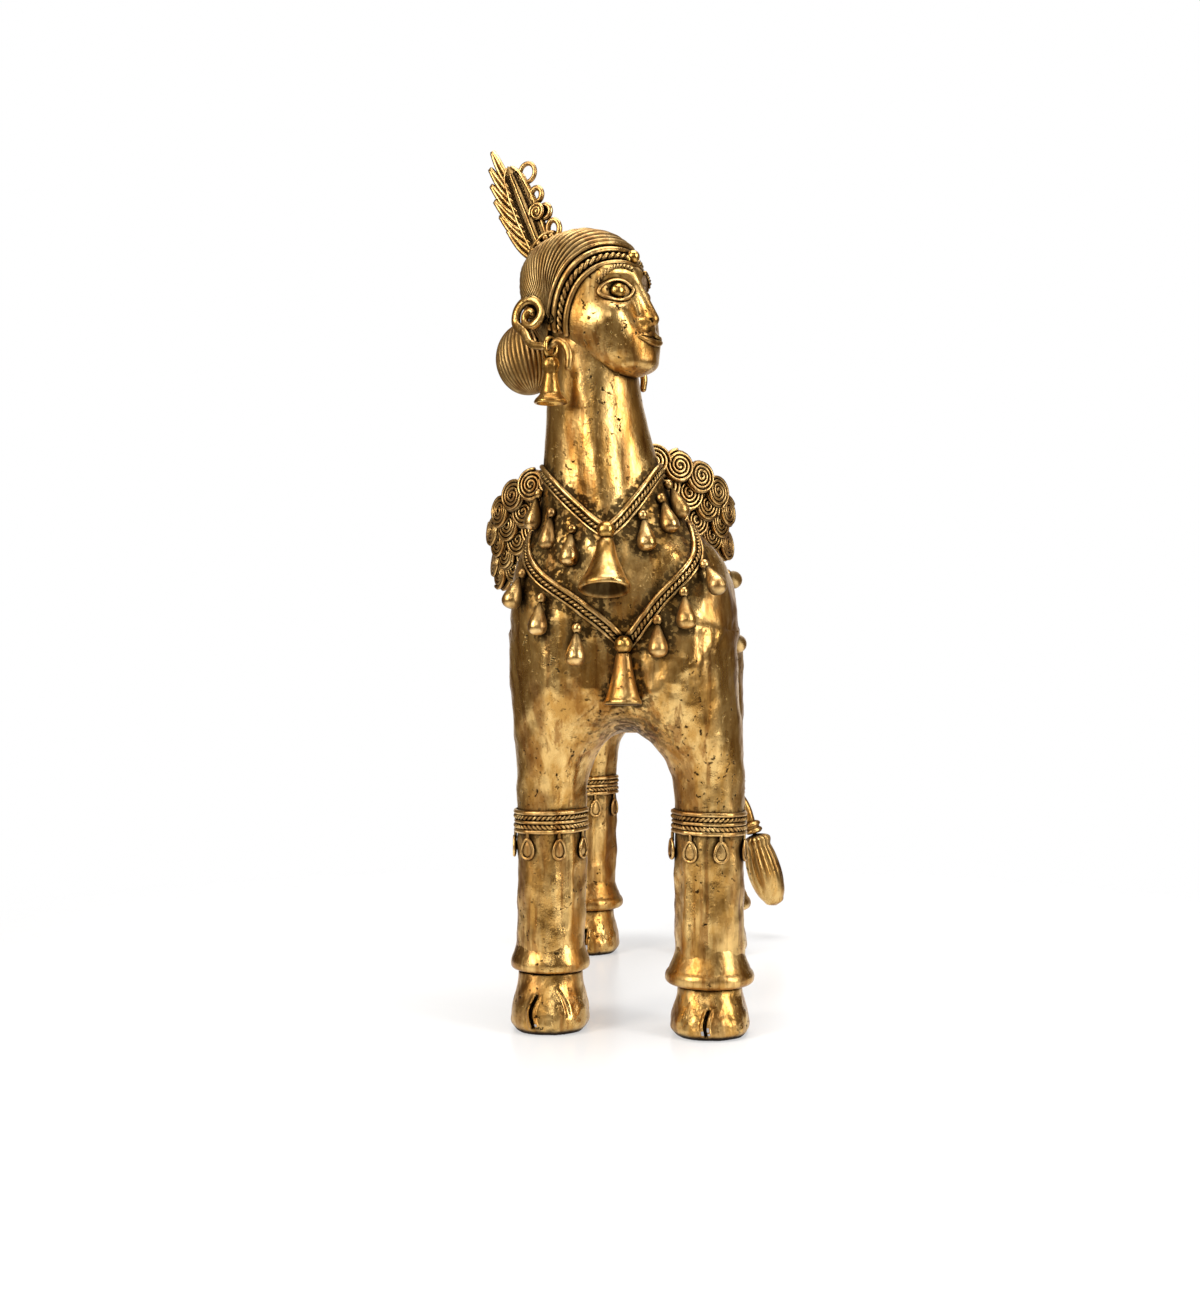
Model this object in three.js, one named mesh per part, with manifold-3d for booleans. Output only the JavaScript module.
import * as THREE from 'three';
import { LoftGeometry } from 'three/addons/geometries/LoftGeometry.js';
import { mergeVertices } from 'three/addons/utils/BufferGeometryUtils.js';
import Module from 'manifold-3d';

// A lost-wax brass figurine: a winged cow with a woman's head and neck.
// Millimetres, +Z up. The figure faces -Y, and its left side is +X.
// Each mesh is one piece that the maker forms in wax before the pour.

const wasm = await Module();
wasm.setup();

// Clearances and walls
const SEAM = 0.3; // gap left between two neighbouring pieces
const HEAD_PROBE = 60; // where a probe for the head's skin starts, well outside it
const BODY_PROBE = 150; // the same for the trunk
const SHELL_WALL = 3.2;
const VENT_WIDTH = 8; // core vent under the belly
const ROUND_SIDES = 14; // facets of a leg and of what goes round it

// Stance, legs and hooves
const TRACK = 43; // between the centres of a left and a right leg
const STANCE = 114; // between the front and the rear legs
const HOOF_HEIGHT = 14.5; // rear hooves
const FRONT_LEFT_HOOF_HEIGHT = 12.8;
const FRONT_RIGHT_HOOF_HEIGHT = 15.6;
const FRONT_STEP = 3; // front left leg ahead of the right one
const HOOF_WIDTH = 20.4;
const HOOF_LENGTH = 22.5;
const HOOF_TOP_WIDTH = 18.6;
const CLEFT_WIDTH = 2;
const CLEFT_DEPTH = 5;
const CLEFT_TOP = 4.5; // cleft's top below the hoof's top
const LEG_WIDTH = 18.4;
const LEG_TOP_WIDTH = 27; // across, where the leg runs into the barrel
const LEG_TOP_DEPTH = 33; // along the barrel, at the same place
const ANKLET_PROUD = 2.3; // how far an anklet stands out from the leg
const ANKLET_FOOT_PROUD = 1; // the same at its foot
const ANKLET_HEIGHT = 10;
const KNEE_HEIGHT = 56; // floor to the middle of a knee band
const KNEE_BAND_HEIGHT = 5.4;
const KNEE_BAND_THICKNESS = 1.5;
const KNEE_LEAVES = 7;
const KNEE_LEAF_LENGTH = 4;
const KNEE_LEAF_WIDTH = 2.6;

// Barrel
const BELLY_HEIGHT = 79; // floor to the belly
const BARREL_DEPTH = 55; // belly to back
const CHEST_WIDTH = 68.6;
const WAIST_WIDTH = 56;
const RUMP_WIDTH = 64;
const BARREL_END = 5; // how square the barrel's ends are; 2 is an ellipse
const BARREL_SQUARE = 3; // and its cross-section
const CHEST_REACH = 19; // chest in front of the front legs' centres
const RUMP_REACH = 22; // rump behind the rear legs' centres

// Neck
const NECK_RISE = 78.2; // barrel's middle to the neck's top
const NECK_LEAN = -9.5; // the top's shift to the figure's right
const NECK_FORWARD = 8; // the top's reach in front of the front legs
const NECK_BASE_WIDTH = 56;
const NECK_BASE_DEPTH = 40;
const THROAT_WIDTH = 23;
const THROAT_DEPTH = 23.5;
const THROAT_RIDGE = 1.4; // height of the ridge down the neck's front

// Head: its own frame faces -Y too, then tilts back and turns to the figure's left
const HEAD_TURN = THREE.MathUtils.degToRad(60);
const HEAD_TILT = THREE.MathUtils.degToRad(-12);
const HEAD_LIFT = 9.5; // head's centre above the neck's top
const HEAD_WIDTH = 28;
const FACE_REACH = 14.2; // centre to the brow
const SKULL_REACH = 17; // centre to the back of the skull
const CHIN_DROP = 23;
const CROWN_RISE = 16.6;
const NOSE_REACH = 4.4;
const EYE_SPACING = 12.4;
const EYE_DROP = 2.4; // eye line below the head's centre
const EYE_WIDTH = 4.2;
const MOUTH_DROP = 15.6;
const MOUTH_WIDTH = 9;
const LIP_GAP = 1.3; // mouth line to the middle of a lip

// Hair and head band
const HAIR_THICKNESS = 1.7;
const HAIRLINE_RISE = 5; // top of the hairline above the head's centre
const HAIRLINE_DROP = 15.5; // from there to its ends by the ears
const HAIRLINE_SWING = THREE.MathUtils.degToRad(98); // round to each ear
const THREAD = 1.4; // diameter of a laid thread
const THREAD_PITCH = 1.75;
const BUN_WIDTH = 15.5;
const BUN_DEPTH = 19;
const BUN_HEIGHT = 20;
const BUN_DROP = 8.5; // bun's centre below the head's centre
const JEWEL_WIDTH = 3.4;

// Ears and their bells
const EAR_WIRE = 1.9;
const EAR_COIL = 4.2; // radius of the coil
const EAR_OUT = 14.9; // coil's distance from the head's middle plane
const LEFT_EAR_FLARE = 0.56; // how fast the hook moves out below the coil
const RIGHT_EAR_FLARE = 0.3;
const LEFT_EAR_BACK = 11; // coil's centre behind the head's centre
const RIGHT_EAR_BACK = 8.5;
const EAR_DROP = 3.9;
const HOOK_DIP = [-1.2, -2.4]; // where the bell hangs: back and up from the coil's centre, in its radii
const BELL_LOOP = 1.75; // inside radius of a bell's hanging loop
const BELL_WIRE = 1.2;
const EAR_BELL_LENGTH = 12;
const EAR_BELL_WIDTH = 8.7;

// Crest
const CREST_HEIGHT = 29;
const CREST_LEAF_WIDTH = 6;
const CREST_THICKNESS = 2.6;
const CREST_BACK = 12.5; // its foot behind the head's centre
const CREST_LEAN = 6.5; // its top further back
const BARB_WIDTH = 2;
// back in leaf widths and up in crest heights
const BARB_TIPS = [
  [0.5, 1.17],
  [1.1, 0.98],
  [1.4, 0.81],
  [1.5, 0.64],
  [1.4, 0.48],
];
const SCROLL_WIRE = 1.3;
const SCROLL_WIDTHS = [4.6, 4.2, 5]; // top to foot
const SCROLL_BEAD = 2.6;
const RING_WIDTH = 6;
const COLLAR_HEIGHT = 3;

// Necklaces and garland
const BAND_WIDTH = 3.6;
const BAND_THICKNESS = 1.7;
const UPPER_FRONT_RISE = 25.5; // necklace's point above the barrel's middle, negative below it
const UPPER_SIDE_RISE = 45;
const UPPER_BACK_RISE = 52.5;
const LOWER_FRONT_RISE = -3.5;
const LOWER_SIDE_RISE = 25.5;
const LOWER_BACK_RISE = 38.5;
const UPPER_POWER = 1; // 1 hangs as a V, more turns up at the sides
const LOWER_POWER = 8;
const BAND_STRAIGHT = 0.74; // how far a necklace keeps to a straight V
const DROP_LENGTH = 7.6;
const DROP_WIDTH = 4.4;
const DROP_BEAD = 2.4;
const CENTRE_BEAD = 4.2;
const UPPER_BELL_WIDTH = 13.4;
const UPPER_BELL_LENGTH = 13.5;
const LOWER_BELL_WIDTH = 10;
const LOWER_BELL_LENGTH = 12.5;
const BELL_NECK = 4;
const BELL_LEAN = 0.32; // a chest bell's lean away from the chest
const GIRTH_BACK = 27; // garland behind the front legs
const GIRTH_WIDTH = 4.2;
const GIRTH_THICKNESS = 1.7;

// Wings: coils laid in rows on a surface that curves back round the shoulder
const WING_ROOT = 11; // from the neck's middle out to the root
const WING_RADIUS = 36;
const WING_TURN_IN = THREE.MathUtils.degToRad(12);
const WING_FORWARD = 8; // root behind the front legs' centres
const LEFT_WING_TOP_RISE = 75; // middle of the top row above the belly
const RIGHT_WING_TOP_RISE = 70;
const WING_CURL = 0.22; // how fast the rows below draw in to the flank
const COIL_WIDTH = 10.2;
const COIL_LAP = 1.8; // how far two coils of a row overlap
const COIL_RELIEF = 1.1; // coils proud of the sheet, on each face
const WING_THICKNESS = 1.6; // sheet behind the coils
const WING_DROOP = 0.012; // how fast the top row falls away from the root
const WING_ROWS = 4;
const LEFT_WING_RISE = 2.5; // rows lost from the root to the tip, at the bottom
const RIGHT_WING_RISE = 1.8;
const WING_COLUMNS = 5;

// Tail
const TAIL_WIDTH = 4.4;
const TAIL_END_WIDTH = 3;
const TAIL_SWING = 36; // sideways to its end
const TAIL_SETTING = 3; // root's depth inside the rump
const TAIL_REACH = 8; // end's distance behind the rump
const TAIL_BOW = 4; // outward bow half way down
const TAIL_END_HEIGHT = 41;
const TUFT_LENGTH = 26.5;
const TUFT_WIDTH = 12;
const TUFT_SLANT = 0.3; // outwards for each millimetre down
const TAIL_COLLAR_WIDTH = 6.4;
const TAIL_COLLAR_LENGTH = 4;

const BRASS = 0xb98c38;
const BRIGHT_BRASS = 0xd0a650;
const CLAY = 0x4a3a2c;

const coilPitch = COIL_WIDTH - COIL_LAP;
const coilRowStep = coilPitch * 0.93;
const barrelMiddle = BELLY_HEIGHT + BARREL_DEPTH / 2;
const frontY = -STANCE / 2;
const rearY = STANCE / 2;
const legs = [
  { name: 'front_left', side: 1, y: frontY - FRONT_STEP, hoofHeight: FRONT_LEFT_HOOF_HEIGHT },
  { name: 'front_right', side: -1, y: frontY, hoofHeight: FRONT_RIGHT_HOOF_HEIGHT },
  { name: 'rear_left', side: 1, y: rearY, hoofHeight: HOOF_HEIGHT },
  { name: 'rear_right', side: -1, y: rearY, hoofHeight: HOOF_HEIGHT },
];
const down = new THREE.Vector3(0, 0, -1);

const vec = (x, y, z) => new THREE.Vector3(x, y, z);
const lerp = THREE.MathUtils.lerp;

/** A closed ring of points around a centre, in the plane of two half-axis vectors. */
function oval(centre, across, along, count, power = 2) {
  const ring = [];
  for (let i = 0; i < count; i++) {
    const turn = (2 * Math.PI * i) / count;
    const c = Math.cos(turn);
    const s = Math.sin(turn);
    const point = centre.clone();
    point.addScaledVector(across, Math.sign(c) * Math.abs(c) ** (2 / power));
    point.addScaledVector(along, Math.sign(s) * Math.abs(s) ** (2 / power));
    ring.push(point);
  }
  return ring;
}

/** The solid inside a closed geometry, whichever way its faces wind. */
function solid(geometry) {
  const bare = new THREE.BufferGeometry();
  bare.setAttribute('position', geometry.getAttribute('position').clone());
  if (geometry.index) bare.setIndex(geometry.index.clone());
  const merged = mergeVertices(bare, 1e-3);
  const points = Float32Array.from(merged.getAttribute('position').array);
  const triangles = [];
  let volume = 0;
  for (let i = 0; i < merged.index.count; i += 3) {
    const corners = [0, 1, 2].map((k) => merged.index.getX(i + k));
    if (new Set(corners).size < 3) continue;
    const [a, b, c] = corners.map((k) => vec(points[3 * k], points[3 * k + 1], points[3 * k + 2]));
    volume += a.dot(b.cross(c));
    triangles.push(...corners);
  }
  if (volume < 0) triangles.reverse();
  const mesh = new wasm.Mesh({ numProp: 3, vertProperties: points, triVerts: Uint32Array.from(triangles) });
  return new wasm.Manifold(mesh);
}

/** The geometry of a solid's surface. */
function surface(body) {
  const { vertProperties, triVerts } = body.getMesh();
  const geometry = new THREE.BufferGeometry();
  geometry.setAttribute('position', new THREE.BufferAttribute(Float32Array.from(vertProperties), 3));
  geometry.setIndex(new THREE.BufferAttribute(Uint32Array.from(triVerts), 1));
  geometry.computeVertexNormals();
  return geometry;
}

/** One solid from several that touch. */
function join(bodies) {
  return bodies.reduce((whole, body) => whole.add(body));
}

/** A solid cut by others, without the crumbs that the cuts leave. */
function trimmed(body, ...cutters) {
  const parts = cutters.reduce((rest, cutter) => rest.subtract(cutter), body).decompose();
  return parts.reduce((largest, part) => (part.volume() > largest.volume() ? part : largest));
}

/** The mean of a ring's points. */
function ringCentre(ring) {
  return ring.reduce((sum, point) => sum.add(point), vec(0, 0, 0)).divideScalar(ring.length);
}

/** A loft through rings of points, with flat ends, or joined to its start when looped. */
function loft(rings, looped = false) {
  const start = ringCentre(rings[0]);
  const ahead = ringCentre(rings[1]).sub(start);
  const facing = vec(0, 0, 0);
  rings[0].forEach((point, i) => {
    const next = rings[0][(i + 1) % rings[0].length];
    facing.add(point.clone().sub(start).cross(next.clone().sub(start)));
  });
  const sections = facing.dot(ahead) < 0 ? rings.map((ring) => ring.toReversed()) : rings;
  if (looped) sections.push(sections[0]);
  return solid(new LoftGeometry(sections, { capStart: !looped, capEnd: !looped }));
}

/** A round wire through points. The width runs from its first value to its second. */
function wire(points, widths, sides, steps, looped = false) {
  const curve = new THREE.CatmullRomCurve3(points, looped, 'centripetal');
  const frames = curve.computeFrenetFrames(steps, looped);
  const rings = [];
  for (let i = 0; i < steps + (looped ? 0 : 1); i++) {
    const radius = lerp(widths[0], widths[1], i / steps) / 2;
    const across = frames.normals[i].clone().multiplyScalar(radius);
    const along = frames.binormals[i].clone().multiplyScalar(radius);
    rings.push(oval(curve.getPointAt(i / steps), across, along, sides));
  }
  return loft(rings, looped);
}

/** A flat band along points that lie on a surface with the given normals. */
function ribbon(stations, width, thickness) {
  const count = stations.length;
  const rings = stations.map(({ point, normal }, i) => {
    const ahead = stations[(i + 1) % count].point;
    const behind = stations[(i + count - 1) % count].point;
    const tangent = ahead.clone().sub(behind).normalize();
    const across = tangent.clone().cross(normal).normalize();
    const out = across.clone().cross(tangent).normalize();
    const half = across.multiplyScalar(width / 2);
    return oval(point, half, out.multiplyScalar(thickness), 6);
  });
  return loft(rings, true);
}

/** A turned piece: its profile's heights run down from a point, along a direction. */
function turned(profile, sides, point, direction) {
  const outline = profile.map(([radius, drop]) => new THREE.Vector2(radius, -drop));
  const geometry = new THREE.LatheGeometry(outline, sides);
  const aim = new THREE.Quaternion().setFromUnitVectors(vec(0, -1, 0), direction.clone().normalize());
  geometry.applyQuaternion(aim);
  geometry.translate(point.x, point.y, point.z);
  return solid(geometry);
}

/** A round bead about a point. */
function bead(point, width, sides = 10) {
  return solid(new THREE.SphereGeometry(width / 2, sides, 6).translate(point.x, point.y, point.z));
}

/** Where a ray first meets a surface, with the surface's normal there. */
function touch(skin, from, towards) {
  const ray = new THREE.Raycaster(from, towards.clone().normalize());
  const hit = ray.intersectObject(skin)[0];
  return { point: hit.point, normal: hit.face.normal.clone() };
}

/** A surface that touch can meet from either side. */
function target(body) {
  return new THREE.Mesh(surface(body), new THREE.MeshBasicMaterial({ side: THREE.DoubleSide }));
}

/** A solid moved by a matrix. */
function moved(body, matrix) {
  return solid(surface(body).applyMatrix4(matrix));
}

/** A named mesh of one piece. */
function piece(name, body, color = BRASS, roughness = 0.38, metalness = 1) {
  const material = new THREE.MeshStandardMaterial({ color, roughness, metalness });
  const mesh = new THREE.Mesh(surface(body), material);
  mesh.name = name;
  return mesh;
}

// Trunk: barrel, legs and neck, each as a function of how far its skin is moved out

function barrel(grow, sides = 20, steps = 14) {
  const rings = [];
  const halfLength = (STANCE + CHEST_REACH + RUMP_REACH) / 2 + grow;
  const middle = (RUMP_REACH - CHEST_REACH) / 2;
  for (let i = 0; i <= steps; i++) {
    const along = Math.sin((Math.PI / 2) * 0.985 * (2 * (i / steps) - 1));
    const round = (1 - Math.abs(along) ** BARREL_END) ** (1 / BARREL_END);
    const endWidth = along < 0 ? CHEST_WIDTH : RUMP_WIDTH;
    const halfWidth = lerp(WAIST_WIDTH, endWidth, along * along) / 2 + grow;
    const halfDepth = BARREL_DEPTH / 2 + grow;
    const centre = vec(0, middle + along * halfLength, barrelMiddle);
    const across = vec(halfWidth * round, 0, 0);
    rings.push(oval(centre, across, vec(0, 0, halfDepth * round), sides, BARREL_SQUARE));
  }
  return loft(rings);
}

function leg({ side, y, hoofHeight }, grow) {
  const outside = TRACK / 2 + LEG_WIDTH / 2;
  const kneeTop = KNEE_HEIGHT + KNEE_BAND_HEIGHT;
  const flare = (BELLY_HEIGHT - kneeTop) / 2;
  const stations = [
    [hoofHeight + SEAM - grow, LEG_WIDTH, LEG_WIDTH],
    [KNEE_HEIGHT - KNEE_BAND_HEIGHT * 2, LEG_WIDTH, LEG_WIDTH],
    [kneeTop, LEG_WIDTH, LEG_WIDTH],
    [kneeTop + flare, lerp(LEG_WIDTH, LEG_TOP_WIDTH, 0.2), lerp(LEG_WIDTH, LEG_TOP_DEPTH, 0.25)],
    [BELLY_HEIGHT, lerp(LEG_WIDTH, LEG_TOP_WIDTH, 0.7), lerp(LEG_WIDTH, LEG_TOP_DEPTH, 0.7)],
    [BELLY_HEIGHT + flare, LEG_TOP_WIDTH, LEG_TOP_DEPTH],
    [barrelMiddle, LEG_TOP_WIDTH * 0.5, LEG_TOP_DEPTH * 0.5],
  ];
  const rings = stations.map(([z, width, depth]) => {
    const centre = vec(side * (outside - (z < barrelMiddle ? width : LEG_TOP_WIDTH) / 2), y, z);
    return oval(centre, vec(width / 2 + grow, 0, 0), vec(0, depth / 2 + grow, 0), ROUND_SIDES);
  });
  return loft(rings);
}

function neckCentre(t) {
  const lean = NECK_LEAN * Math.sin((Math.PI / 2) * t);
  return vec(lean, frontY - NECK_FORWARD * t, barrelMiddle + NECK_RISE * t);
}

function neck(grow) {
  const rings = [];
  const steps = 8;
  for (let i = 0; i <= steps; i++) {
    const t = i / steps;
    const spread = (1 - t) ** 1.7;
    const halfWidth = lerp(THROAT_WIDTH, NECK_BASE_WIDTH, spread) / 2 + grow;
    const halfDepth = lerp(THROAT_DEPTH, NECK_BASE_DEPTH, spread) / 2 + grow;
    const ring = oval(neckCentre(t), vec(halfWidth, 0, 0), vec(0, halfDepth, 0), 20);
    const ridge = THROAT_RIDGE * Math.sin(Math.PI * Math.min(1, 1.25 * t));
    ring[15].y -= ridge;
    rings.push(ring);
  }
  return loft(rings);
}

function trunk(grow) {
  return join([barrel(grow), neck(grow), ...legs.map((place) => leg(place, grow))]);
}

const trunkSeam = trunk(SEAM);
const trunkSkin = target(trunk(0));
const barrelSeam = barrel(SEAM);

// Head frame
const headMatrix = new THREE.Matrix4();
const headPlace = neckCentre(1).add(vec(0, 0, HEAD_LIFT));
const headTurn = new THREE.Quaternion().setFromEuler(new THREE.Euler(HEAD_TILT, 0, HEAD_TURN, 'ZXY'));
headMatrix.compose(headPlace, headTurn, vec(1, 1, 1));
const headInverse = headMatrix.clone().invert();

function skull(grow) {
  // height, width, reach forward and reach back, as shares of the head's own sizes
  const stations = [
    [-1, 0.3, 0.92, -0.38],
    [-0.87, 0.54, 1.03, -0.05],
    [-0.68, 0.75, 1.06, 0.34],
    [-0.44, 0.88, 1.02, 0.68],
    [-0.17, 0.97, 0.96, 0.9],
    [0.11, 1, 0.97, 1],
    [0.44, 0.98, 0.9, 1],
    [0.72, 0.86, 0.7, 0.88],
    [0.92, 0.6, 0.42, 0.66],
    [1, 0.28, 0.14, 0.42],
  ];
  const rings = stations.map(([height, width, ahead, behind]) => {
    const z = height * (height < 0 ? CHIN_DROP : CROWN_RISE) + grow * height;
    const front = FACE_REACH * ahead + grow;
    const back = SKULL_REACH * behind + grow;
    const centre = vec(0, (back - front) / 2, z);
    const halfWidth = (HEAD_WIDTH / 2) * width + grow;
    return oval(centre, vec(halfWidth, 0, 0), vec(0, (front + back) / 2, 0), 20, 2.15);
  });
  return loft(rings);
}

const skullSkin = target(skull(0));
const hairSkin = target(skull(HAIR_THICKNESS));

/** The face's surface at a place across and up, seen from the front. */
function facePoint(x, z) {
  return touch(skullSkin, vec(x, -HEAD_PROBE, z), vec(0, 1, 0));
}

function nose(grow) {
  const bridge = facePoint(0, -EYE_DROP + 2).point;
  const base = facePoint(0, (-EYE_DROP - MOUTH_DROP) / 2 - 2).point;
  const stations = [
    [bridge.z, bridge.y - 0.3, 1.6],
    [lerp(bridge.z, base.z, 0.55), lerp(bridge.y, base.y, 0.55) - NOSE_REACH * 0.55, 2.3],
    [base.z + 1.4, base.y - NOSE_REACH, 3.2],
    [base.z, base.y - NOSE_REACH * 0.55, 3],
  ];
  const rings = stations.map(([z, tip, half]) => {
    const reach = FACE_REACH * 0.3;
    return oval(vec(0, tip + reach, z), vec(half + grow, 0, 0), vec(0, reach + grow, 0), 8);
  });
  return loft(rings);
}

/** A point of the hairline, an arch from ear to ear round the face, moved back by some threads. */
function hairline(swing, threads, skin) {
  const back = threads * THREAD_PITCH;
  const limit = HAIRLINE_SWING + back / SKULL_REACH;
  const angle = swing * limit;
  const z = HAIRLINE_RISE + back - (HAIRLINE_DROP + back * 0.4) * Math.abs(swing) ** 3.7;
  const outward = vec(Math.sin(angle), -Math.cos(angle), 0);
  return touch(skin, outward.clone().multiplyScalar(HEAD_PROBE).setZ(z), outward.clone().negate());
}

/** The space in front of and below the hairline, which hair keeps out of. */
function faceWindow(threads) {
  const rings = [];
  const steps = 40;
  const limit = HAIRLINE_SWING + (threads * THREAD_PITCH) / SKULL_REACH;
  for (let i = 0; i <= steps; i++) {
    const swing = (2 * i) / steps - 1;
    const outward = vec(Math.sin(swing * limit), -Math.cos(swing * limit), 0);
    const top = hairline(swing, threads, skullSkin).point.z;
    const near = outward.clone().multiplyScalar(FACE_REACH * 0.7);
    const far = outward.clone().multiplyScalar(FACE_REACH * 1.4);
    const low = -CHIN_DROP * 2;
    rings.push([near.clone().setZ(low), far.clone().setZ(low), far.setZ(top), near.setZ(top)]);
  }
  return loft(rings);
}

function threadPath(threads, grow) {
  const points = [];
  for (let i = -8; i <= 8; i++) {
    const { point, normal } = hairline(i / 8, threads, skullSkin);
    points.push(point.addScaledVector(normal, THREAD * 0.35));
  }
  const width = THREAD + grow * 2;
  return wire(points, [width, width], 5, 16);
}

function laidThread(threads) {
  return trimmed(threadPath(threads, 0), skullSeam, neckInHead);
}

/** A thread on the face through places across and up. */
function faceThread(places, width, looped) {
  const points = places.map(([x, z]) => {
    const { point, normal } = facePoint(x, z);
    return point.addScaledVector(normal, width * 0.3);
  });
  return trimmed(wire(points, [width, width], 5, looped ? 12 : 8, looped), faceSeam);
}

const skullSeam = skull(SEAM);
const faceSeam = skullSeam.add(nose(SEAM));
const hairSeam = skull(HAIR_THICKNESS + SEAM);
const neckInHead = moved(neck(SEAM), headInverse);

// Head pieces, in the head's frame

function hairCap() {
  return trimmed(skull(HAIR_THICKNESS), faceWindow(3.05), skullSeam, neckInHead);
}

function hairBun() {
  const rings = [];
  const steps = 7;
  const back = SKULL_REACH + BUN_DEPTH / 2 - 3;
  for (let i = 0; i <= steps; i++) {
    const angle = Math.PI * (0.06 + (0.88 * i) / steps);
    const z = -BUN_DROP - (BUN_HEIGHT / 2) * Math.cos(angle);
    const round = Math.sin(angle);
    const across = vec((BUN_WIDTH / 2) * round, 0, 0);
    rings.push(oval(vec(0, back, z), across, vec(0, (BUN_DEPTH / 2) * round, 0), 14));
  }
  return trimmed(loft(rings), hairSeam, neckInHead);
}

function jewel() {
  const { point, normal } = hairline(0, 1, skullSkin);
  return bead(point.addScaledVector(normal, THREAD * 0.85 + SEAM + JEWEL_WIDTH / 2), JEWEL_WIDTH, 8);
}

function eyeBead(side) {
  const { point } = facePoint((side * EYE_SPACING) / 2, -EYE_DROP);
  return trimmed(bead(point, EYE_WIDTH), faceSeam);
}

function eyeRim(side) {
  const places = [];
  const halfWidth = EYE_WIDTH * 0.95;
  const halfHeight = EYE_WIDTH / 2 + SEAM + THREAD * 0.42;
  for (let i = 0; i < 10; i++) {
    const turn = (2 * Math.PI * i) / 10;
    const x = (side * EYE_SPACING) / 2 + halfWidth * Math.cos(turn);
    places.push([x, -EYE_DROP + halfHeight * Math.sin(turn)]);
  }
  return faceThread(places, THREAD * 0.7, true);
}

function brow(side) {
  const places = [];
  for (let i = 0; i <= 4; i++) {
    const x = side * (EYE_SPACING / 2 + EYE_WIDTH * (0.55 * i - 1.05));
    places.push([x, -EYE_DROP + EYE_WIDTH + 0.9 * Math.sin((Math.PI * i) / 4)]);
  }
  return faceThread(places, THREAD, false);
}

function lip(drop) {
  const places = [-1, -0.5, 0, 0.5, 1].map((x) => {
    return [(x * MOUTH_WIDTH) / 2, -MOUTH_DROP - drop * (1 - 0.3 * x * x)];
  });
  return faceThread(places, THREAD * 1.1, false);
}

// Ear: a coil that runs out into a hook with a dip, where the bell's loop hangs

const ears = [
  { name: 'left', side: 1, flare: LEFT_EAR_FLARE, back: LEFT_EAR_BACK },
  { name: 'right', side: -1, flare: RIGHT_EAR_FLARE, back: RIGHT_EAR_BACK },
];

/** A place on an ear, back and up from its coil's centre in coil radii. */
function earPlace({ side, flare, back }, [behind, up]) {
  const out = EAR_OUT - flare * EAR_COIL * THREE.MathUtils.clamp(up, HOOK_DIP[1], 0);
  return vec(side * out, back + behind * EAR_COIL, up * EAR_COIL - EAR_DROP);
}

function ear(place) {
  const points = [];
  for (let i = 0; i <= 10; i++) {
    const turn = Math.PI * (-1 + (2 * i) / 10);
    const radius = lerp(0.28, 1, i / 10);
    points.push([-radius * Math.cos(turn), radius * Math.sin(turn)]);
  }
  const hook = [
    [0.85, -0.9],
    [0.4, -1.7],
    [-0.45, -2.2],
    HOOK_DIP,
    [-1.75, -2.3],
    [-2.2, -2.65],
    [-2.4, -3.4],
    [-2.2, -4.1],
  ];
  const path = [...points, ...hook].map((point) => earPlace(place, point));
  return trimmed(wire(path, [EAR_WIRE * 0.8, EAR_WIRE], 5, 30), hairSeam);
}

const loopDrop = BELL_LOOP - EAR_WIRE / 2 - SEAM; // the loop's centre below the hook's dip

function earBell() {
  const loopWidth = BELL_LOOP * 2 + BELL_WIRE;
  const loop = new THREE.TorusGeometry(loopWidth / 2, BELL_WIRE / 2, 5, 12);
  loop.rotateX(Math.PI / 2);
  const top = BELL_LOOP + BELL_WIRE * 0.6;
  const mouth = EAR_BELL_WIDTH / 2;
  const ball = EAR_BELL_WIDTH * 0.23;
  const profile = [
    [0, top],
    [ball * 0.8, top + ball * 0.5],
    [ball, top + ball],
    [ball * 0.62, top + ball * 2],
    [ball * 0.95, top + EAR_BELL_LENGTH * 0.5],
    [mouth * 0.62, top + EAR_BELL_LENGTH * 0.78],
    [mouth, top + EAR_BELL_LENGTH * 0.97],
    [mouth * 0.86, top + EAR_BELL_LENGTH],
    [0, top + EAR_BELL_LENGTH * 0.8],
  ];
  return solid(loop).add(turned(profile, 10, vec(0, 0, 0), down));
}

// Crest, a flat piece in the head's middle plane. Places are shares of its height, back and up.
const crestFoot = touch(hairSkin, vec(0, CREST_BACK, 60), down).point;

function crestPlace(back, up) {
  const y = crestFoot.y + back * CREST_LEAF_WIDTH + CREST_LEAN * up;
  return vec(0, y, crestFoot.z + up * CREST_HEIGHT);
}

function crestPlate(grow) {
  const outline = [
    [-0.36 - grow / CREST_LEAF_WIDTH, -0.1],
    [0.36 + grow / CREST_LEAF_WIDTH, -0.1],
    [0.5 + grow / CREST_LEAF_WIDTH, 0.45],
    [0.36 + grow / CREST_LEAF_WIDTH, 0.86],
    [0, 0.97 + grow / CREST_HEIGHT],
    [-0.36 - grow / CREST_LEAF_WIDTH, 0.86],
    [-0.5 - grow / CREST_LEAF_WIDTH, 0.45],
  ];
  const half = CREST_THICKNESS / 2 + grow;
  const rings = [-half, half].map((x) => outline.map(([back, up]) => crestPlace(back, up).setX(x)));
  return loft(rings);
}

const crestSeam = crestPlate(SEAM);

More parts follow.
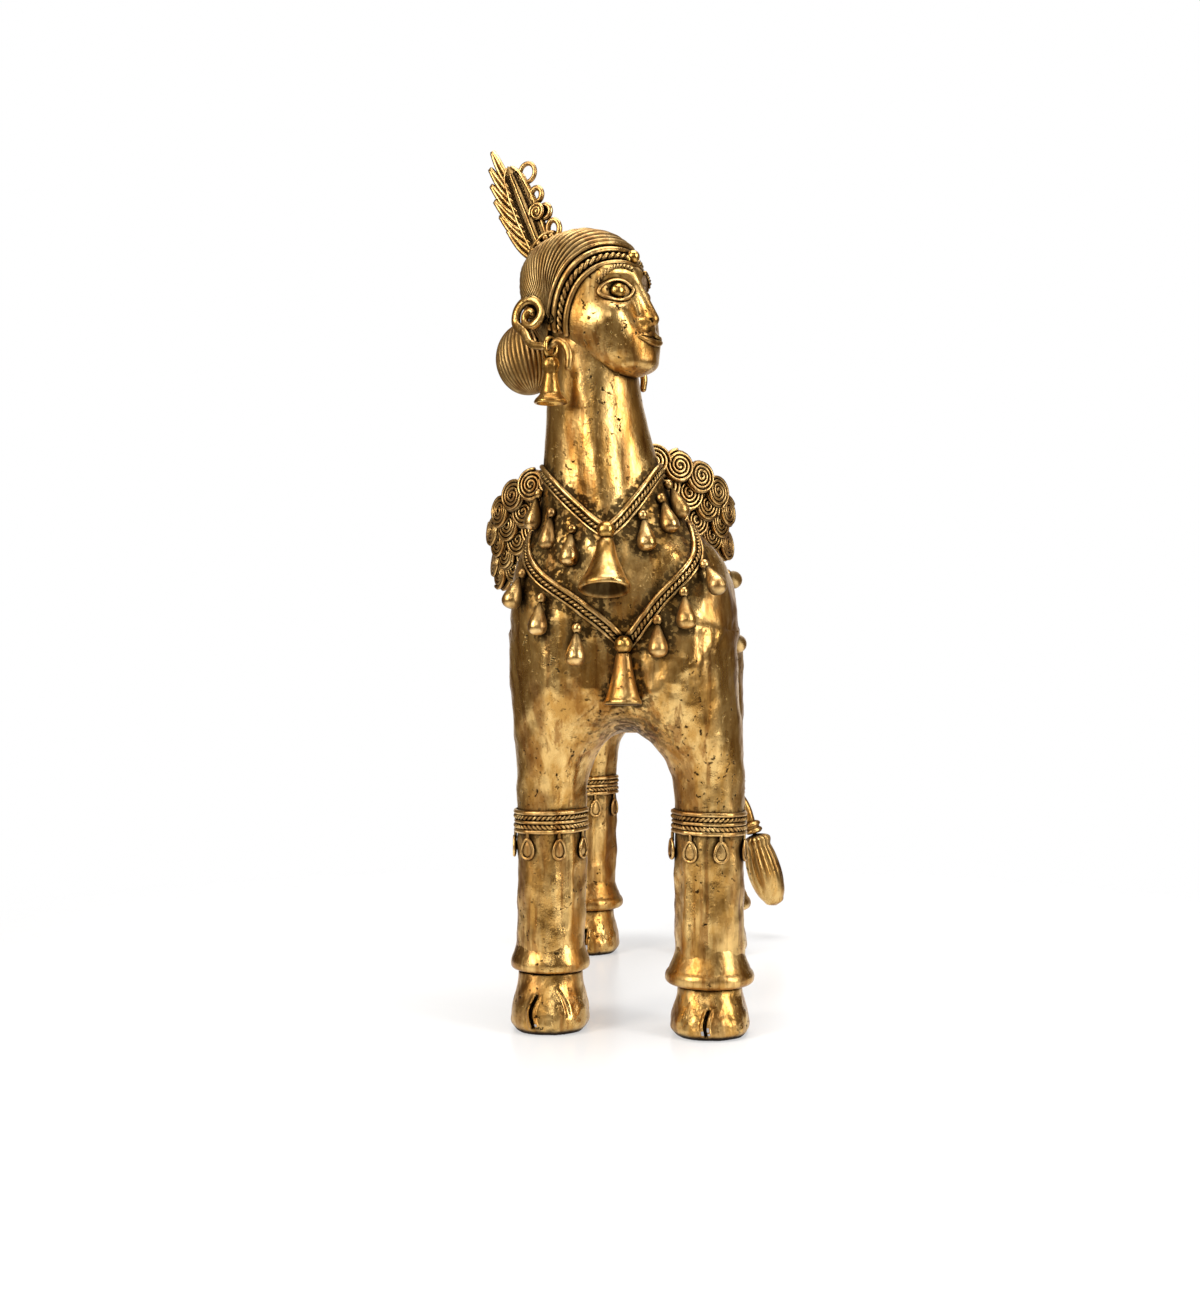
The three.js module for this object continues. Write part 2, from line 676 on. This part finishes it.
function crestBarbs() {
  const spine = [crestPlace(0.46, 0.06), crestPlace(0.6, 0.45), crestPlace(0.5, 0.86)];
  const bodies = [wire(spine, [BARB_WIDTH, BARB_WIDTH], 5, 4)];
  for (const [back, up] of BARB_TIPS) {
    const root = [0.45, up - 0.4];
    const bend = [lerp(root[0], back, 0.6), lerp(root[1], up, 0.42)];
    const path = [crestPlace(...root), crestPlace(...bend), crestPlace(back, up)];
    bodies.push(wire(path, [BARB_WIDTH, BARB_WIDTH * 0.8], 5, 4));
  }
  return trimmed(join(bodies), crestSeam, collarSeam, hairSeam);
}

function hoop(place, width, thickness) {
  const geometry = new THREE.TorusGeometry((width - thickness) / 2, thickness / 2, 5, 12);
  return solid(geometry.rotateY(Math.PI / 2).translate(place.x, place.y, place.z));
}

function crestScrolls() {
  const rib = [crestPlace(-0.45, 0.12), crestPlace(-0.62, 0.45), crestPlace(-0.5, 0.78)];
  const bodies = [
    wire(rib, [SCROLL_WIRE, SCROLL_WIRE], 5, 4),
    hoop(crestPlace(-0.95, 0.58), SCROLL_WIDTHS[0], SCROLL_WIRE),
    hoop(crestPlace(-1.1, 0.4), SCROLL_WIDTHS[1], SCROLL_WIRE),
    hoop(crestPlace(-1.15, 0.21), SCROLL_WIDTHS[2], SCROLL_WIRE),
    bead(crestPlace(-0.62, 0.4), SCROLL_BEAD, 8),
  ];
  return trimmed(join(bodies), crestSeam, collarSeam, hairSeam);
}

function crestRing() {
  return trimmed(hoop(crestPlace(-0.82, 0.88), RING_WIDTH, SCROLL_WIRE), crestSeam);
}

function collarShape(grow) {
  const rings = [-COLLAR_HEIGHT, COLLAR_HEIGHT].map((rise) => {
    const centre = crestFoot.clone();
    centre.z += rise < 0 ? rise : rise + grow;
    const halfDepth = CREST_LEAF_WIDTH / 2 + 2 + grow;
    return oval(centre, vec(CREST_THICKNESS / 2 + 2 + grow, 0, 0), vec(0, halfDepth, 0), 12);
  });
  return loft(rings);
}

const collarSeam = collarShape(SEAM);

// Trunk pieces

function bodyShell() {
  const vent = new THREE.CylinderGeometry(VENT_WIDTH / 2, VENT_WIDTH / 2, SHELL_WALL * 4, 12);
  vent.rotateX(Math.PI / 2).translate(0, 0, BELLY_HEIGHT);
  return barrel(0).subtract(barrel(-SHELL_WALL, 12, 8)).subtract(solid(vent));
}

function hoof({ side, y, hoofHeight }) {
  const x = (side * TRACK) / 2;
  const stations = [
    [0, HOOF_WIDTH * 0.97, HOOF_LENGTH * 0.97],
    [hoofHeight * 0.12, HOOF_WIDTH, HOOF_LENGTH],
    [hoofHeight * 0.5, lerp(HOOF_WIDTH, HOOF_TOP_WIDTH, 0.5), lerp(HOOF_LENGTH, HOOF_TOP_WIDTH, 0.4)],
    [hoofHeight, HOOF_TOP_WIDTH, HOOF_TOP_WIDTH],
  ];
  const heel = y + HOOF_TOP_WIDTH / 2;
  const rings = stations.map(([z, width, length]) => {
    const across = vec(width / 2, 0, 0);
    return oval(vec(x, heel - length / 2, z), across, vec(0, length / 2, 0), ROUND_SIDES, 2.2);
  });
  const toe = heel - HOOF_LENGTH;
  const cleft = new THREE.Shape();
  cleft.moveTo(x - CLEFT_WIDTH, toe - CLEFT_DEPTH);
  cleft.lineTo(x + CLEFT_WIDTH, toe - CLEFT_DEPTH);
  cleft.lineTo(x, toe + CLEFT_DEPTH);
  const slit = new THREE.ExtrudeGeometry(cleft, { depth: hoofHeight - CLEFT_TOP + 1, bevelEnabled: false });
  return loft(rings).subtract(solid(slit.translate(0, 0, -1)));
}

function anklet(place) {
  const edge = LEG_WIDTH / 2 + ANKLET_PROUD;
  const profile = [
    [0, ANKLET_HEIGHT],
    [edge * 0.93, ANKLET_HEIGHT],
    [edge, ANKLET_HEIGHT * 0.8],
    [edge, ANKLET_HEIGHT * 0.55],
    [edge * 0.9, ANKLET_HEIGHT * 0.3],
    [LEG_WIDTH / 2 + ANKLET_FOOT_PROUD, 0],
    [0, 0],
  ];
  const top = vec((place.side * TRACK) / 2, place.y, place.hoofHeight + SEAM + ANKLET_HEIGHT);
  return trimmed(turned(profile, ROUND_SIDES, top, down), leg(place, SEAM));
}

function kneeBand(legPlace) {
  const reach = LEG_WIDTH / 2 + SEAM + KNEE_BAND_THICKNESS;
  const profile = [
    [0, 0],
    [reach, KNEE_BAND_HEIGHT * 0.1],
    [reach, KNEE_BAND_HEIGHT * 0.9],
    [0, KNEE_BAND_HEIGHT],
  ];
  const axis = vec((legPlace.side * TRACK) / 2, legPlace.y, KNEE_HEIGHT + KNEE_BAND_HEIGHT / 2);
  const bodies = [turned(profile, ROUND_SIDES, axis, down)];
  for (let i = 0; i < KNEE_LEAVES; i++) {
    const turn = (2 * Math.PI * (i + 0.5)) / KNEE_LEAVES;
    const place = vec(Math.cos(turn), Math.sin(turn), 0).multiplyScalar(reach - KNEE_BAND_THICKNESS * 0.5);
    place.add(axis).setZ(KNEE_HEIGHT - KNEE_BAND_HEIGHT * 0.3);
    const half = KNEE_LEAF_WIDTH / 2;
    const leaf = [
      [0, 0],
      [half * 0.5, KNEE_LEAF_LENGTH * 0.35],
      [half, KNEE_LEAF_LENGTH * 0.8],
      [0, KNEE_LEAF_LENGTH * 1.3],
    ];
    bodies.push(turned(leaf, 4, place, down));
  }
  return trimmed(join(bodies), leg(legPlace, SEAM));
}

/** Stations of a necklace round the neck: low in front, higher at the sides and behind. */
function necklacePlace(turn, rises, power) {
  const [front, side, back] = rises.map((rise) => barrelMiddle + rise);
  const across = Math.abs(Math.sin(turn));
  const climb = lerp(across ** power, across, BAND_STRAIGHT);
  const z = Math.cos(turn) > 0 ? lerp(front, side, climb) : lerp(back, side, across);
  const t = (z - barrelMiddle) / NECK_RISE;
  const centre = neckCentre(Math.max(0, t)).setZ(z);
  const outward = vec(Math.sin(turn), -Math.cos(turn), 0);
  return touch(trunkSkin, centre.clone().addScaledVector(outward, BODY_PROBE), outward.clone().negate());
}

function dropAt({ point, normal }, offset) {
  const fall = down.clone().addScaledVector(normal, normal.z).normalize();
  const top = point.clone().addScaledVector(normal, DROP_BEAD * 0.45).addScaledVector(fall, offset);
  const ball = DROP_BEAD / 2;
  const half = DROP_WIDTH / 2;
  const profile = [
    [0, 0],
    [ball, ball],
    [ball * 0.6, ball * 2],
    [half * 0.8, ball * 2 + DROP_LENGTH * 0.4],
    [half, ball * 2 + DROP_LENGTH * 0.7],
    [0, ball * 2 + DROP_LENGTH],
  ];
  return turned(profile, 5, top, fall.addScaledVector(normal, 0.12));
}

const UPPER_RISES = [UPPER_FRONT_RISE, UPPER_SIDE_RISE, UPPER_BACK_RISE];
const LOWER_RISES = [LOWER_FRONT_RISE, LOWER_SIDE_RISE, LOWER_BACK_RISE];

function necklace(rises, power, dropTurns, clear) {
  const stations = [];
  const count = 28;
  for (let i = 0; i < count; i++) stations.push(necklacePlace((2 * Math.PI * i) / count, rises, power));
  const bodies = [ribbon(stations, BAND_WIDTH, BAND_THICKNESS)];
  for (const turn of dropTurns) {
    for (const side of [1, -1]) {
      bodies.push(dropAt(necklacePlace(side * turn, rises, power), BAND_WIDTH * 0.3));
    }
  }
  return trimmed(join(bodies), trunkSeam, ...clear);
}

function centrePlace(rises, power) {
  const { point, normal } = necklacePlace(0, rises, power);
  return point.addScaledVector(normal, BAND_THICKNESS + SEAM + CENTRE_BEAD * 0.2);
}

function chestBell(rises, power, width, length) {
  const place = centrePlace(rises, power);
  place.z -= CENTRE_BEAD / 2 + SEAM;
  const neckRadius = BELL_NECK / 2;
  const mouth = width / 2;
  const profile = [
    [0, 0],
    [neckRadius, 0.4],
    [neckRadius, length * 0.3],
    [lerp(neckRadius, mouth, 0.35), length * 0.65],
    [mouth, length * 0.94],
    [mouth * 0.94, length],
    [mouth * 0.7, length],
    [0, length * 0.88],
  ];
  return trimmed(turned(profile, 12, place, vec(0, -BELL_LEAN, -1)), trunkSeam);
}

/** The garland's band and all within it, moved out by some clearance. */
function girthSpace(grow) {
  const slab = new THREE.BoxGeometry(RUMP_WIDTH * 2, GIRTH_WIDTH + grow * 2, BARREL_DEPTH * 2);
  slab.translate(0, frontY + GIRTH_BACK, barrelMiddle);
  return barrel(SEAM + GIRTH_THICKNESS + grow).intersect(solid(slab));
}

function girth() {
  const y = frontY + GIRTH_BACK;
  const bodies = [girthSpace(0)];
  const skin = target(barrel(SEAM + GIRTH_THICKNESS * 0.5));
  for (const turn of [0.35, 0.95, 1.55, 2.15, 2.7]) {
    for (const side of [1, -1]) {
      const outward = vec(side * Math.sin(turn), 0, Math.cos(turn));
      const from = outward.clone().multiplyScalar(BODY_PROBE).add(vec(0, y, barrelMiddle));
      const place = touch(skin, from, outward.negate());
      const fall = vec(0, 1, -0.35);
      fall.addScaledVector(place.normal, -fall.dot(place.normal)).normalize();
      const top = place.point.addScaledVector(fall, GIRTH_WIDTH * 0.3);
      const half = DROP_WIDTH / 2;
      const profile = [
        [0, 0],
        [half * 0.5, DROP_BEAD * 0.5],
        [half * 0.4, DROP_BEAD],
        [half, DROP_BEAD + DROP_LENGTH * 0.65],
        [0, DROP_BEAD + DROP_LENGTH],
      ];
      bodies.push(turned(profile, 6, top.addScaledVector(place.normal, half * 0.4), fall));
    }
  }
  return trimmed(join(bodies), trunkSeam);
}

/** A place on a wing, by its distance out from the root and its height, with the outward normal. */
function wingPlace(side, out, z) {
  const heading = WING_TURN_IN + out / WING_RADIUS;
  const drawIn = WING_CURL * (wingTop(side, 0) - z);
  const x = WING_ROOT + WING_RADIUS * (Math.sin(heading) - Math.sin(WING_TURN_IN));
  const y = frontY + WING_FORWARD + WING_RADIUS * (Math.cos(WING_TURN_IN) - Math.cos(heading));
  const normal = vec(side * Math.sin(heading), -Math.cos(heading), 0);
  const point = vec(side * x + NECK_LEAN * 0.8, y, z).addScaledVector(normal, -drawIn);
  normal.z = WING_CURL;
  return { point, normal: normal.normalize() };
}

/** Height of a wing's top row, which droops away from the root. */
function wingTop(side, out) {
  const rise = side > 0 ? LEFT_WING_TOP_RISE : RIGHT_WING_TOP_RISE;
  return BELLY_HEIGHT + rise - WING_DROOP * out * out;
}

/** How far the nearest coil stands proud of a wing's sheet. */
function coilRelief(out, row) {
  const nearRow = Math.round(row);
  const column = out / coilPitch - (nearRow % 2 ? 0.35 : 0.85);
  const across = (column - Math.round(column)) * coilPitch;
  const along = (row - nearRow) * coilRowStep;
  const share = (across * across + along * along) / (COIL_WIDTH / 2) ** 2;
  return COIL_RELIEF * Math.sqrt(Math.max(0, 1 - share));
}

/** A wing: a curved sheet with a scalloped edge and the swell of its coils on both faces. */
function wing(side) {
  const rings = [];
  const columns = WING_COLUMNS * 3;
  const rows = WING_ROWS * 3;
  const lost = side > 0 ? LEFT_WING_RISE : RIGHT_WING_RISE;
  for (let i = 0; i <= columns; i++) {
    const front = [];
    const back = [];
    for (let j = 0; j <= rows; j++) {
      const row = lerp(-0.5, WING_ROWS - 0.5 - lost * (i / columns) ** 2, j / rows);
      const reach = WING_COLUMNS - 0.35 + 0.3 * Math.abs(Math.cos(Math.PI * row));
      const out = (reach * coilPitch * i) / columns;
      const scallop = j % rows ? 0 : 0.16 * Math.abs(Math.sin(Math.PI * (out / coilPitch - 0.35)));
      const edgeRow = row + (j ? scallop : -scallop);
      const { point, normal } = wingPlace(side, out, wingTop(side, out) - coilRowStep * edgeRow);
      const swell = WING_THICKNESS / 2 + coilRelief(out, row);
      front.push(point.clone().addScaledVector(normal, swell));
      back.unshift(point.clone().addScaledVector(normal, -swell));
    }
    rings.push([...front, ...back]);
  }
  return trimmed(loft(rings), trunkSeam, upperBand, lowerBand, girthSpace(SEAM));
}

// Tail: from the rump's top it swings out to the figure's left and hangs
const tailRoot = vec(0, rearY + RUMP_REACH - TAIL_SETTING, barrelMiddle + BARREL_DEPTH * 0.28);
const tailEnd = vec(TAIL_SWING, rearY + RUMP_REACH + TAIL_REACH, TAIL_END_HEIGHT);
const tuftAim = vec(TUFT_SLANT, 0, -1).normalize();

function tail() {
  const fall = (share) => lerp(tailRoot.z, TAIL_END_HEIGHT, share);
  const path = [
    tailRoot,
    vec(TAIL_SWING * 0.2, tailEnd.y + TAIL_BOW * 0.75, fall(0.16)),
    vec(TAIL_SWING * 0.4, tailEnd.y + TAIL_BOW, fall(0.48)),
    vec(TAIL_SWING * 0.66, tailEnd.y + TAIL_BOW * 0.5, fall(0.78)),
    tailEnd.clone().addScaledVector(tuftAim, -TAIL_COLLAR_LENGTH),
    tailEnd,
  ];
  return trimmed(wire(path, [TAIL_WIDTH, TAIL_END_WIDTH], 8, 18), trunkSeam);
}

function tailCollar() {
  const half = TAIL_COLLAR_WIDTH / 2;
  const profile = [
    [0, 0],
    [half * 0.85, 0],
    [half, TAIL_COLLAR_LENGTH * 0.25],
    [half * 0.85, TAIL_COLLAR_LENGTH * 0.5],
    [half, TAIL_COLLAR_LENGTH * 0.75],
    [half * 0.85, TAIL_COLLAR_LENGTH],
    [0, TAIL_COLLAR_LENGTH],
  ];
  return turned(profile, 12, tailEnd.clone().addScaledVector(tuftAim, SEAM), tuftAim);
}

function tailTuft() {
  const half = TUFT_WIDTH / 2;
  const profile = [
    [0, 0],
    [TAIL_COLLAR_WIDTH * 0.36, 0],
    [half * 0.8, TUFT_LENGTH * 0.22],
    [half, TUFT_LENGTH * 0.5],
    [half * 0.8, TUFT_LENGTH * 0.8],
    [half * 0.4, TUFT_LENGTH * 0.96],
    [0, TUFT_LENGTH],
  ];
  const top = tailEnd.clone().addScaledVector(tuftAim, TAIL_COLLAR_LENGTH + SEAM * 2);
  return turned(profile, 12, top, tuftAim);
}

// Necklaces and the beads and bells at their points
const upperBeadPlace = centrePlace(UPPER_RISES, UPPER_POWER);
const lowerBeadPlace = centrePlace(LOWER_RISES, LOWER_POWER);
const beadSeam = [upperBeadPlace, lowerBeadPlace].map((place) => bead(place, CENTRE_BEAD + SEAM * 2));
const upperBand = necklace(UPPER_RISES, UPPER_POWER, [0.5, 0.9, 1.35], beadSeam);
const lowerBand = necklace(LOWER_RISES, LOWER_POWER, [0.42, 0.8, 1.2], beadSeam);

// Assembly
const figure = new THREE.Group();

figure.add(piece('body_shell', bodyShell()));
figure.add(piece('clay_core', barrel(-SHELL_WALL - SEAM, 12, 8), CLAY, 0.95, 0));
const headSeamWorld = moved(skullSeam, headMatrix);
figure.add(piece('neck', trimmed(neck(0), barrelSeam, headSeamWorld)));

for (const place of legs) {
  figure.add(piece(`leg_${place.name}`, trimmed(leg(place, 0), barrelSeam, neck(SEAM))));
  figure.add(piece(`anklet_${place.name}`, anklet(place), BRIGHT_BRASS));
  figure.add(piece(`hoof_${place.name}`, hoof(place)));
  figure.add(piece(`knee_band_${place.name}`, kneeBand(place), BRIGHT_BRASS));
}

figure.add(piece('wing_left', wing(1), BRIGHT_BRASS));
figure.add(piece('wing_right', wing(-1), BRIGHT_BRASS));
figure.add(piece('necklace_upper', upperBand, BRIGHT_BRASS));
figure.add(piece('necklace_lower', lowerBand, BRIGHT_BRASS));
figure.add(piece('upper_bead', bead(upperBeadPlace, CENTRE_BEAD), BRIGHT_BRASS));
figure.add(piece('lower_bead', bead(lowerBeadPlace, CENTRE_BEAD), BRIGHT_BRASS));
const upperBell = chestBell(UPPER_RISES, UPPER_POWER, UPPER_BELL_WIDTH, UPPER_BELL_LENGTH);
const lowerBell = chestBell(LOWER_RISES, LOWER_POWER, LOWER_BELL_WIDTH, LOWER_BELL_LENGTH);
figure.add(piece('upper_bell', upperBell, BRIGHT_BRASS));
figure.add(piece('lower_bell', lowerBell, BRIGHT_BRASS));
figure.add(piece('girth_garland', girth(), BRIGHT_BRASS));
figure.add(piece('tail', tail()));
figure.add(piece('tail_collar', tailCollar(), BRIGHT_BRASS));
figure.add(piece('tail_tuft', tailTuft(), BRIGHT_BRASS));

const head = new THREE.Group();
head.position.copy(headPlace);
head.quaternion.copy(headTurn);
figure.add(head);

head.add(piece('head', skull(0).add(nose(0))));
head.add(piece('hair_cap', hairCap()));
head.add(piece('hair_bun', hairBun()));
head.add(piece('headband_lower_wire', laidThread(0), BRIGHT_BRASS));
head.add(piece('headband_rope', laidThread(1), BRIGHT_BRASS));
head.add(piece('headband_upper_wire', laidThread(2), BRIGHT_BRASS));
head.add(piece('forehead_jewel', jewel(), BRIGHT_BRASS));
head.add(piece('upper_lip', lip(-LIP_GAP)));
head.add(piece('lower_lip', lip(LIP_GAP)));
head.add(piece('crest_leaf', trimmed(crestPlate(0), hairSeam)));
head.add(piece('crest_barbs', crestBarbs(), BRIGHT_BRASS));
head.add(piece('crest_scrolls', crestScrolls(), BRIGHT_BRASS));
head.add(piece('crest_ring', crestRing(), BRIGHT_BRASS));
head.add(piece('crest_collar', trimmed(collarShape(0), crestSeam, hairSeam), BRIGHT_BRASS));

for (const place of ears) {
  head.add(piece(`eye_bead_${place.name}`, eyeBead(place.side), BRIGHT_BRASS));
  head.add(piece(`eye_rim_${place.name}`, eyeRim(place.side), BRIGHT_BRASS));
  head.add(piece(`brow_${place.name}`, brow(place.side), BRIGHT_BRASS));
  head.add(piece(`ear_hook_${place.name}`, ear(place), BRIGHT_BRASS));
  const bell = piece(`ear_bell_${place.name}`, earBell(), BRIGHT_BRASS);
  bell.position.copy(earPlace(place, HOOK_DIP)).applyMatrix4(headMatrix);
  bell.position.z -= loopDrop;
  bell.rotation.z = HEAD_TURN;
  figure.add(bell);
}

// The origin is on the floor, under the middle of the figure's box
const box = new THREE.Box3().setFromObject(figure);
const middle = box.getCenter(vec(0, 0, 0));
figure.position.set(-middle.x, -middle.y, -box.min.z);

export default figure;
